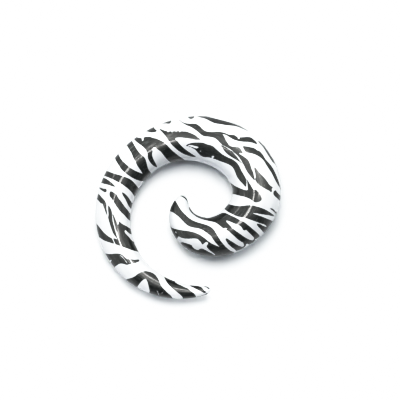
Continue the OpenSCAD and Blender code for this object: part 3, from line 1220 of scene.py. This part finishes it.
    def _add_bake_map(self, mesh: bpy.types.Mesh, along: np.ndarray, around: np.ndarray) -> None:
        """Unroll the rod into a map in two rows, its head half below and its tail half above.

        Args:
            mesh: the finished mesh.
            along: each vertex's distance from the head's tip in mm.
            around: each vertex's angle round the rod in degrees.
        """
        margin, row_height = self.map_margin, 0.5
        corner = np.empty(len(mesh.loops), int)
        mesh.loops.foreach_get("vertex_index", corner)
        face = np.repeat(np.arange(len(mesh.polygons)), [p.loop_total for p in mesh.polygons])
        starts = np.array([p.loop_start for p in mesh.polygons])
        first = around[corner[starts]][face]
        turned = around[corner] + 360 * np.round((first - around[corner]) / 360)
        sizes = np.bincount(face)
        middle_around = (np.bincount(face, turned) / sizes)[face]
        turned -= 360 * np.floor((middle_around + 180) / 360)
        middle_along = (np.bincount(face, along[corner]) / sizes)[face]
        half = self.length / 2
        row = (middle_along > half).astype(float)
        u = margin + (along[corner] - half * row) / half * (1 - 2 * margin)
        v = margin / 2 + (turned + 180) / 360 * (row_height - 1.5 * margin) + row_height * row
        layer = mesh.uv_layers.new(name="OFBake")
        layer.data.foreach_set("uv", np.stack([u, v], axis=1).ravel().astype(np.float32))

    def build(self) -> bpy.types.Object:
        """Make the rod, lay it down, print it and put it in the place of its plain solid.

        Returns:
            The finished rod.
        """
        rod = self._sweep()
        rod.name = rod.data.name = "zebra_spiral_taper"
        self._lay_down(rod)
        smooth = rod.modifiers.new("smooth", "SUBSURF")
        smooth.levels = smooth.render_levels = self.smoothing
        bpy.ops.object.modifier_apply(modifier=smooth.name)
        bpy.ops.object.shade_smooth()
        along, around = self._places_on_rod(rod.data)
        radius, turn = self.radius(along), np.radians(around)
        places = np.stack([along, radius * np.sin(turn), radius * np.cos(turn)], axis=1) * MM
        depth = self.pattern.ink_depth(along, around, radius)
        self._add_attribute(rod.data, "ink_depth", "FLOAT", depth)
        self._add_attribute(rod.data, "rod_place", "FLOAT_VECTOR", places)
        self._add_bake_map(rod.data, along, around)
        rod.data.materials.append(self.finish.make())
        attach(rod, "root")
        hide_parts(NODE)
        LOG.info("%s: %d faces, %.1f mm long", rod.name, len(rod.data.polygons), self.length)
        return rod


@dataclass(frozen=True)
class Surroundings:
    """The room: bright at the back, and in the gloss dark at the front with a glow overhead.

    Attributes:
        bright_side: the side that the room's light comes from.
        bright_fade: how nearly a direction points there where the light begins and is full.
        bright_glow: how bright that side is.
        bright_colour: the colour of its light.
        dim_glow: how bright the other side is.
        dim_colour: the colour of its light.
        dark_end: the side that is dim in the gloss.
        dark_reach: how far from it the dimness ends and is full, in degrees.
        gloss_gain: how much brighter the room is in the gloss.
        overhead: where the glow overhead is.
        overhead_glow: how bright it is.
        overhead_colour: its colour.
        overhead_reach: how far from its middle it ends and is full, in degrees.
        backdrop: what shows where neither the spiral nor the table is.
    """

    bright_side: Triple = (0.02, 1.0, 0.0)
    bright_fade: Pair = (-0.18, 0.35)
    bright_glow: float = 0.95
    bright_colour: Colour = (0.965, 1.0, 0.985)
    dim_glow: float = 0.11
    dim_colour: Colour = (0.72, 0.84, 1.0)
    dark_end: Triple = (0.19, -0.89, 0.42)
    dark_reach: Pair = (58.0, 30.0)
    gloss_gain: float = 1.65
    overhead: Triple = (0.36, 0.18, 0.92)
    overhead_glow: float = 2.4
    overhead_colour: Colour = (1.0, 0.98, 0.97)
    overhead_reach: Pair = (34.0, 10.0)
    backdrop: Colour = (0.95, 0.955, 0.96)

    @staticmethod
    def _facing(build: NodeBuilder, side: Triple, fade: Pair, ends: Pair) -> Socket:
        """Fade from one value to another by how nearly a direction points to a side.

        Args:
            build: where the nodes go.
            side: the side.
            fade: the cosines of the angle to it where the fade begins and ends.
            ends: the values there.

        Returns:
            The value.
        """
        towards = build.add("VectorMath", operation="DOT_PRODUCT")
        towards.inputs[1].default_value = Vector(side).normalized()
        build.links.new(build.add("TexCoord").outputs["Generated"], towards.inputs[0])
        return build.share(towards.outputs["Value"], *fade, ends, "SMOOTHSTEP")

    @staticmethod
    def _cosines(reach: Pair) -> Pair:
        """Turn two angles in degrees into their cosines."""
        return math.cos(math.radians(reach[0])), math.cos(math.radians(reach[1]))

    def _room(self, build: NodeBuilder, in_gloss: Socket) -> Socket:
        """Light the room from one side, and in the gloss from all sides but the dark end.

        Args:
            build: where the nodes go.
            in_gloss: 1 where the room is seen in the gloss, 0 elsewhere.

        Returns:
            The light.
        """
        lit = build.add("Mix")
        build.links.new(in_gloss, lit.inputs["Factor"])
        bright = self._facing(build, self.bright_side, self.bright_fade, (0, 1))
        build.links.new(bright, lit.inputs["A"])
        not_dark = self._facing(build, self.dark_end, self._cosines(self.dark_reach), (1, 0))
        build.links.new(not_dark, lit.inputs["B"])
        dim_light = tuple(share * self.dim_glow for share in self.dim_colour)
        bright_light = tuple(share * self.bright_glow for share in self.bright_colour)
        colour = build.blend(lit.outputs["Result"], dim_light, bright_light)
        gain = build.add("Math", operation="MULTIPLY_ADD")
        build.links.new(in_gloss, gain.inputs[0])
        gain.inputs[1].default_value, gain.inputs[2].default_value = self.gloss_gain - 1, 1.0
        background = build.nodes["Background"]
        build.links.new(colour, background.inputs["Color"])
        build.links.new(gain.outputs[0], background.inputs["Strength"])
        return background.outputs[0]

    def _glow_overhead(self, build: NodeBuilder, in_gloss: Socket) -> Socket:
        """Hang a soft glow overhead, which shows in the gloss alone.

        Args:
            build: where the nodes go.
            in_gloss: 1 where the room is seen in the gloss, 0 elsewhere.

        Returns:
            The light.
        """
        reach = self._cosines(self.overhead_reach)
        glow = self._facing(build, self.overhead, reach, (0, self.overhead_glow))
        above = build.add("Background")
        above.inputs["Color"].default_value = (*self.overhead_colour, 1)
        build.links.new(build.combine("MULTIPLY", glow, in_gloss), above.inputs["Strength"])
        return above.outputs[0]

    def make(self) -> bpy.types.World:
        """Build the room.

        Returns:
            The room's light, with a plain backdrop for the camera.
        """
        world = bpy.data.worlds.new("surroundings")
        world.use_nodes = True
        build = NodeBuilder(world.node_tree)
        ray = build.add("LightPath")
        in_gloss = ray.outputs["Is Glossy Ray"]
        room = build.add("AddShader")
        build.links.new(self._room(build, in_gloss), room.inputs[0])
        build.links.new(self._glow_overhead(build, in_gloss), room.inputs[1])
        plain = build.add("Background")
        plain.inputs["Color"].default_value = (*self.backdrop, 1)
        either = build.add("MixShader")
        build.links.new(ray.outputs["Is Camera Ray"], either.inputs[0])
        build.links.new(room.outputs[0], either.inputs[1])
        build.links.new(plain.outputs[0], either.inputs[2])
        build.links.new(either.outputs[0], build.nodes["World Output"].inputs["Surface"])
        return world


class Use(Enum):
    """What a lamp is for."""

    SHADE = "lights the spiral and the table, unseen in the gloss"
    GLEAM = "shows in the gloss alone"


@dataclass(frozen=True)
class SoftLight:
    """A flat lamp that faces straight down.

    Attributes:
        name: what the lamp is.
        use: what it is for.
        start: the middle of its one end, from above, in mm.
        end: the middle of its other end, from above, in mm.
        width: how wide it is, in mm.
        glow: how bright its face is, where a fully lit white sheet is 1.
        height: how high it hangs, in mm.
    """

    name: str
    use: Use
    start: Pair
    end: Pair
    width: float
    glow: float
    height: float = 320.0


@dataclass(frozen=True)
class SoftBeam:
    """A narrow beam with a soft edge, unseen in the gloss.

    Attributes:
        name: what the beam is.
        aim: the middle of the place that it lights, in mm.
        azimuth: the side that it comes from, in degrees round from the right.
        elevation: how steeply it falls, in degrees above the table.
        width: how wide it is where it lands, in mm.
        glow: how bright it makes a white sheet there, where a fully lit one is 1.
        colour: its colour.
        distance: how far away its lamp is, in mm.
        lamp_radius: how large its lamp is, in mm.
    """

    name: str
    aim: Triple
    azimuth: float
    elevation: float
    width: float
    glow: float
    colour: Colour
    distance: float = 300.0
    lamp_radius: float = 8.0


@dataclass(frozen=True)
class Studio:
    """White table, soft light and the camera straight above.

    Attributes:
        view_width: how wide the picture is on the spiral.
        look_at: where the middle of the picture is, from above.
        look_height: the height above the table where the picture's width holds.
        distance: how far above that height the camera is.
        sensor: the width of the camera's sensor.
        clip: how near and how far the camera sees.
        table_side: the side of the table.
        tone: the contrast, as tones before and after, from black 0 to white 1.
        lamp_colour: the colour of the lamps that show in the gloss.
        lamps: the flat lamps.
        beams: the narrow beams.
    """

    view_width: float = 96.5
    look_at: Pair = (2.83, 1.74)
    look_height: float = 6.0
    distance: float = 2000.0
    sensor: float = 36.0
    clip: Pair = (50.0, 20000.0)
    table_side: float = 6000.0
    tone: tuple[Pair, ...] = (
        (0.05, 0.03), (0.12, 0.07), (0.20, 0.12), (0.27, 0.195), (0.33, 0.285), (0.38, 0.38),
        (0.45, 0.50), (0.60, 0.74), (0.75, 0.92), (0.90, 0.995))
    lamp_colour: Colour = (1.0, 0.97, 0.965)
    lamps: tuple[SoftLight, ...] = (
        SoftLight("ceiling", Use.SHADE, (-132, 156), (88, 156), 220, 9.2, 395),
        SoftLight("tail_fill", Use.SHADE, (-22, -46), (30, -46), 18, 1.7, 28),
        SoftLight("corner_fill", Use.SHADE, (-46, -16), (-28, -40), 16, 1.2, 28),
        SoftLight("near_tube", Use.GLEAM, (-47, -38), (-95, 12), 26, 16),
        SoftLight("long_tube", Use.GLEAM, (-100, 40), (-180, 304), 20, 7),
        SoftLight("back_tube", Use.GLEAM, (-180, 290), (60, 290), 20, 7),
        SoftLight("window", Use.GLEAM, (150, 30), (150, 168), 34, 13),
        SoftLight("second_window", Use.GLEAM, (60, 100), (96, 165), 24, 13),
        SoftLight("right_tube", Use.GLEAM, (50, -30), (185, -30), 18, 11),
        SoftLight("side_tube", Use.GLEAM, (-550, -20), (-550, 400), 60, 14),
    )
    beams: tuple[SoftBeam, ...] = (
        SoftBeam("bend_beam", (9.5, 8.3, 8), 213, 28, 15, 0.45, (0.90, 0.95, 1.0)),
    )

    def _table(self) -> None:
        """Lay the table under the spiral."""
        deselect_all()
        bpy.ops.mesh.primitive_plane_add(size=self.table_side * MM, location=(0, 0, 0))
        table = bpy.context.object
        table.name = "table"
        table.data.materials.append(WhiteTable().make())

    def _lamp(self, lamp: SoftLight) -> None:
        """Hang one lamp.

        Args:
            lamp: its ends, width and brightness.
        """
        start, end = Vector((*lamp.start, lamp.height)) * MM, Vector((*lamp.end, lamp.height)) * MM
        length, width = (end - start).length, lamp.width * MM
        turn = math.atan2(end.y - start.y, end.x - start.x)
        bpy.ops.object.light_add(type="AREA", location=(start + end) / 2, rotation=(0, 0, turn))
        light = bpy.context.object
        light.name = lamp.name
        light.data.shape = "RECTANGLE"
        light.data.size, light.data.size_y = length, width
        light.data.energy = lamp.glow * math.pi * width * length
        light.visible_camera = False
        light.visible_diffuse = lamp.use is Use.SHADE
        light.visible_glossy = lamp.use is Use.GLEAM
        if lamp.use is Use.GLEAM:
            light.data.color = self.lamp_colour

    def _beam(self, beam: SoftBeam) -> None:
        """Aim one narrow beam.

        Args:
            beam: its aim, direction, width and brightness.
        """
        towards_lamp = Vector((beam.distance * MM, 0, 0))
        towards_lamp.rotate(Euler((0, -math.radians(beam.elevation), math.radians(beam.azimuth))))
        bpy.ops.object.light_add(
            type="SPOT", location=Vector(beam.aim) * MM + towards_lamp,
            rotation=towards_lamp.to_track_quat("Z", "Y").to_euler())
        light = bpy.context.object
        light.name = beam.name
        light.data.spot_size = 2 * math.atan(beam.width / 2 / beam.distance)
        light.data.spot_blend = 1.0
        light.data.shadow_soft_size = beam.lamp_radius * MM
        light.data.energy = beam.glow * (2 * math.pi * beam.distance * MM) ** 2
        light.data.color = beam.colour
        light.visible_camera = light.visible_glossy = False

    def _tones(self) -> None:
        """Give the picture the contrast of a studio photo, with deep shadows and clean whites."""
        view = bpy.context.scene.view_settings
        view.view_transform = "Standard"
        view.use_curve_mapping = True
        view.curve_mapping.extend = "HORIZONTAL"
        *_, all_colours = view.curve_mapping.curves
        for before, after in self.tone:
            all_colours.points.new(before, after)
        for point in all_colours.points:
            point.handle_type = "AUTO_CLAMPED"
        view.curve_mapping.update()

    def _camera(self) -> None:
        """Set the camera straight above, with the spiral a little off the picture's middle."""
        place = Vector((*self.look_at, self.look_height + self.distance)) * MM
        bpy.ops.object.camera_add(location=place)
        camera = bpy.context.object
        camera.name = "camera"
        camera.data.sensor_width = self.sensor
        camera.data.lens = self.sensor * self.distance / self.view_width
        camera.data.clip_start, camera.data.clip_end = self.clip[0] * MM, self.clip[1] * MM
        bpy.context.scene.camera = camera

    def build(self) -> None:
        """Set up the table, the lamps, the surroundings and the camera."""
        self._table()
        for lamp in self.lamps:
            self._lamp(lamp)
        for beam in self.beams:
            self._beam(beam)
        bpy.context.scene.world = Surroundings().make()
        self._tones()
        self._camera()
        LOG.info("studio: %d lamps", len(self.lamps) + len(self.beams))


def main() -> None:
    """Build the spiral and the studio."""
    logging.basicConfig(level=logging.INFO, format="%(name)s %(message)s")
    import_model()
    SpiralRod(PrintedAcrylic(), ZebraPrint()).build()
    Studio().build()


if __name__ == "__main__":
    main()
